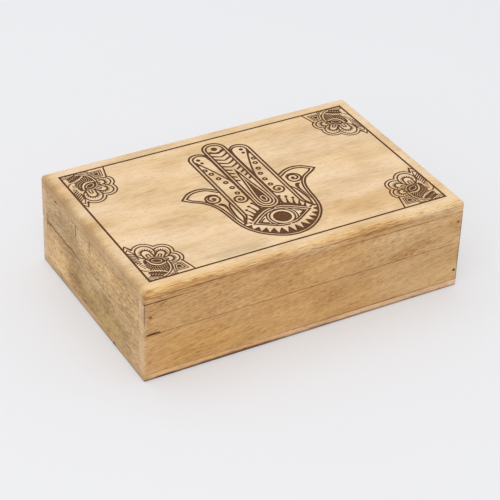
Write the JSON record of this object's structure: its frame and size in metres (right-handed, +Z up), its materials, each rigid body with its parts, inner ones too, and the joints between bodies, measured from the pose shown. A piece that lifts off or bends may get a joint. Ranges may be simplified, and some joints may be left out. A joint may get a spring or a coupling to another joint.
{
  "type": "wooden keepsake box",
  "caption": "Shallow rectangular wooden box for papers and keepsakes, nailed from boards, with a rounded engraved lid that swings back on butt hinges.",
  "frame": {"origin": "middle of the underside, on the surface that the box stands on", "axes": "+X along the length to the right, +Y from the front to the hinged back, +Z up"},
  "size_m": [0.23, 0.15, 0.0665],
  "materials": {
    "lid_panel_wood": "pale sanded wood with a thin clear satin finish, engraved lines burnt dark brown",
    "wall_wood": "honey-brown sanded wood with a thin clear satin finish",
    "bottom_wood": "sanded wood",
    "hinge_brass": "pressed brass, slightly dulled",
    "screw_brass": "turned brass",
    "pin_steel": "drawn steel wire",
    "nail_steel": "dark dull steel"
  },
  "bodies": {
    "base": {"bottom_board": "bottom_wood", "base_front_wall": "wall_wood", "base_back_wall": "wall_wood", "base_left_wall": "wall_wood", "base_right_wall": "wall_wood", "base_corner_nails": "nail_steel", "bottom_board_nails": "nail_steel", "left_hinge_base_leaf": "hinge_brass", "right_hinge_base_leaf": "hinge_brass", "left_hinge_pin": "pin_steel", "right_hinge_pin": "pin_steel", "base_leaf_screws": "screw_brass"},
    "lid": {"lid_top_board": "lid_panel_wood", "lid_front_rail": "wall_wood", "lid_back_rail": "wall_wood", "lid_left_rail": "wall_wood", "lid_right_rail": "wall_wood", "lid_corner_nails": "nail_steel", "left_hinge_lid_leaf": "hinge_brass", "right_hinge_lid_leaf": "hinge_brass", "lid_leaf_screws": "screw_brass"}
  },
  "joints": [
    {"name": "lid_hinge", "type": "hinge", "parent": "base", "child": "lid", "pos_m": [0, 0.0733, 0.0342], "axis": [-1, 0, 0], "range_deg": [0, 100]}
  ]
}
